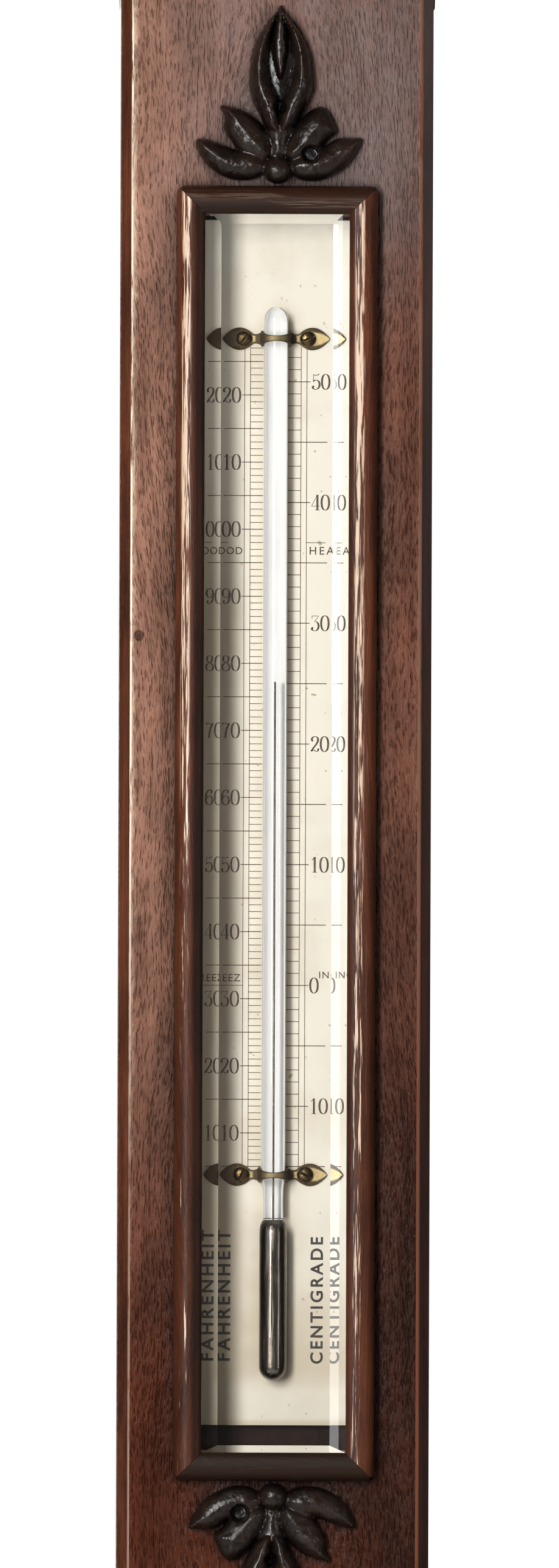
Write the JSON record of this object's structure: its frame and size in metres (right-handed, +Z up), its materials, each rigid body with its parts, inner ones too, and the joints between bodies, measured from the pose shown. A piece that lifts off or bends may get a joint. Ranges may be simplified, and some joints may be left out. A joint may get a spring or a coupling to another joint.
{
  "type": "pediment barometer",
  "caption": "Wall barometer in a carved oak case: pediment on top, glazed thermometer in the shaft, round aneroid dial below.",
  "frame": {"origin": "middle of the hole in the hanging plate, on the plane of the wall", "axes": "+Z up along the shaft, -Y out of the wall to the front, +X to the viewer's right"},
  "size_m": [0.212, 0.0499, 0.7657],
  "materials": {
    "oak": "fumed and waxed oak, open pores",
    "moulded_oak": "dark polished oak moulding, worn along its crest",
    "carved_oak": "near black polished carving",
    "brass": "lacquered brass",
    "aged_brass": "dull aged brass",
    "steel": "bright steel",
    "blued_steel": "blued steel",
    "scale_ivory": "ivory coloured plate with black marks",
    "dial_white": "white dial with black marks",
    "clear_glass": "clear polished glass",
    "enamel_glass": "white enamel backed glass",
    "mercury": "liquid mirror"
  },
  "bodies": {
    "case": {"case_board": "oak", "shoulder_left": "oak", "shoulder_right": "oak", "apron": "oak", "apron_carving": "carved_oak", "drop_finial": "oak", "upper_carving": "carved_oak", "lower_carving": "carved_oak", "frieze_board": "oak", "bracket_left": "oak", "bracket_right": "oak", "dentil_strip": "moulded_oak", "cornice": "moulded_oak", "tympanum": "oak", "rosette": "carved_oak", "rake_left": "moulded_oak", "rake_right": "moulded_oak", "hanging_plate": "brass", "hanging_screw_1": "steel", "hanging_screw_2": "steel", "box_moulding_right": "moulded_oak", "box_moulding_top": "moulded_oak", "box_moulding_left": "moulded_oak", "box_moulding_bottom": "moulded_oak", "box_glass": "clear_glass", "scale_plate": "scale_ivory", "thermometer_stem": "enamel_glass", "thermometer_bulb": "clear_glass", "mercury": "mercury", "clip_upper": "aged_brass", "clip_lower": "aged_brass", "clip_screw_1": "aged_brass", "clip_screw_2": "aged_brass", "clip_screw_3": "aged_brass", "clip_screw_4": "aged_brass", "dial_ring": "moulded_oak", "movement_can": "brass", "can_screw_1": "steel", "can_screw_2": "steel", "can_screw_3": "steel", "dial": "dial_white", "sight_ring": "brass", "dial_glass": "clear_glass", "bezel": "brass", "base_plate": "brass", "capsule": "brass", "spring_bracket": "brass", "arbor_bridge": "brass", "hairspring": "blued_steel"},
    "hand": {"arbor": "steel", "hand": "blued_steel"},
    "chain": {"chain": "steel"},
    "rocker": {"rocking_shaft": "steel"},
    "lever": {"main_spring": "blued_steel", "main_arm": "steel"},
    "stud": {"capsule_stud": "steel"},
    "set_hand": {"set_hand": "brass", "set_knob": "brass"},
    "adjuster": {"adjusting_screw": "steel"}
  },
  "joints": [
    {"name": "hand_turn", "type": "hinge", "parent": "case", "child": "hand", "pos_m": [0, -0.034, -0.5876], "axis": [0, 1, 0], "range_deg": [-150, 150], "stiffness_Nm_per_rad": 0.002},
    {"name": "chain_slide", "type": "slide", "parent": "case", "child": "chain", "axis": [1, 0, 0], "range_m": [-0.0019, 0.0019]},
    {"name": "rocker_turn", "type": "hinge", "parent": "case", "child": "rocker", "pos_m": [0.052, -0.0129, -0.5876], "axis": [0, 0, 1], "range_deg": [-7.5, 7.5]},
    {"name": "lever_swing", "type": "hinge", "parent": "case", "child": "lever", "pos_m": [-0.046, -0.021, -0.5876], "axis": [0, 0, 1], "range_deg": [-0.5, 0.5]},
    {"name": "capsule_rise", "type": "slide", "parent": "case", "child": "stud", "axis": [0, 1, 0], "range_m": [-0.0004, 0.0004]},
    {"name": "set_hand_turn", "type": "hinge", "parent": "case", "child": "set_hand", "pos_m": [0, -0.0414, -0.5876], "axis": [0, 1, 0], "continuous": true},
    {"name": "adjusting_screw_turn", "type": "hinge", "parent": "case", "child": "adjuster", "pos_m": [-0.046, -0.005, -0.5876], "axis": [0, 1, 0], "range_deg": [-180, 180]}
  ],
  "couplings": [
    {"joint": "chain_slide", "follows": "hand_turn", "m_per_rad": -0.00072},
    {"joint": "rocker_turn", "follows": "hand_turn", "ratio": -0.049655},
    {"joint": "lever_swing", "follows": "hand_turn", "ratio": 0.0032384},
    {"joint": "capsule_rise", "follows": "hand_turn", "m_per_rad": 0.00014897}
  ]
}
